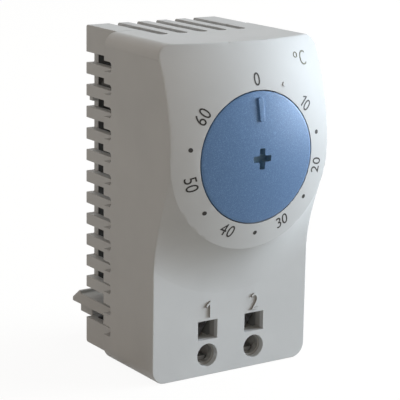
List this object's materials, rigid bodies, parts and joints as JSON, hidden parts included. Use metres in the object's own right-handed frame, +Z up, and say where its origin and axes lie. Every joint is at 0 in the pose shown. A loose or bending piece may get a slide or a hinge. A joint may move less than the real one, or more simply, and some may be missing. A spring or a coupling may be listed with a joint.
{
  "type": "rail-mounted thermostat",
  "caption": "Small grey rail-mounted thermostat with a comb-vented rear base, a domed front on a round boss, a blue metallic setting dial and push-in terminals.",
  "frame": {"origin": "middle of the rail seat: on the back plane of the base, midway across, on the rail's centre line", "axes": "+X to the right seen from the front, +Y backward into the rail, +Z up along the height"},
  "size_m": [0.033, 0.0414, 0.06],
  "materials": {
    "housing_grey": "fine satin moulding",
    "clip_grey": "fine satin moulding",
    "dial_blue": "blue with a fine metallic grain",
    "carrier_dark": "matt",
    "spring_steel": "bright rolled strip and wire",
    "turned_brass": "turned",
    "contact_silver": "polished",
    "tinned_copper": "rolled strip",
    "bimetal": "rolled strip",
    "magnet_black": "matt"
  },
  "bodies": {
    "housing": {"rear_base": "housing_grey", "front_cover": "housing_grey", "switch_carrier": "carrier_dark", "carrier_screws": "spring_steel", "spindle_bush": "turned_brass", "arm_bracket": "turned_brass", "pivot_pin": "spring_steel", "bracket_rivets": "turned_brass", "arm_spring": "spring_steel", "fixed_contact": "contact_silver", "snap_magnet": "magnet_black", "terminal_bar_1": "tinned_copper", "terminal_bar_2": "tinned_copper", "clamp_spring_1": "spring_steel", "clamp_spring_2": "spring_steel"},
    "dial": {"setting_dial": "dial_blue", "dial_washer": "spring_steel"},
    "spindle": {"adjusting_spindle": "turned_brass"},
    "arm": {"setting_arm": "spring_steel", "calibration_screw": "turned_brass", "bimetal_rivets": "spring_steel"},
    "bimetal": {"bimetal_strip": "bimetal", "moving_contact": "contact_silver", "armature": "spring_steel"},
    "clip": {"rail_clip": "clip_grey"}
  },
  "joints": [
    {"name": "dial_turn", "type": "hinge", "parent": "housing", "child": "dial", "pos_m": [0, -0.034, 0.01402], "axis": [0, 1, 0], "range_deg": [0, 306]},
    {"name": "spindle_feed", "type": "slide", "parent": "dial", "child": "spindle", "axis": [0, 1, 0], "range_m": [0, 0.000595]},
    {"name": "arm_tilt", "type": "hinge", "parent": "housing", "child": "arm", "pos_m": [0, -0.0112, 0.02705], "axis": [1, 0, 0], "range_deg": [0, 2.65], "deforming": ["arm_spring"]},
    {"name": "bimetal_flex", "type": "hinge", "parent": "arm", "child": "bimetal", "pos_m": [0, -0.01075, 0.00775], "axis": [-1, 0, 0], "range_deg": [0, 1.5], "stiffness_Nm_per_rad": 0.05},
    {"name": "clip_swing", "type": "hinge", "parent": "housing", "child": "clip", "pos_m": [0, -0.01575, -0.0185], "axis": [-1, 0, 0], "range_deg": [0, 4], "stiffness_Nm_per_rad": 2.5}
  ],
  "couplings": [
    {"joint": "dial_turn", "follows": "spindle_feed", "rad_per_m": 8976},
    {"joint": "arm_tilt", "follows": "spindle_feed", "rad_per_m": 76.746}
  ]
}
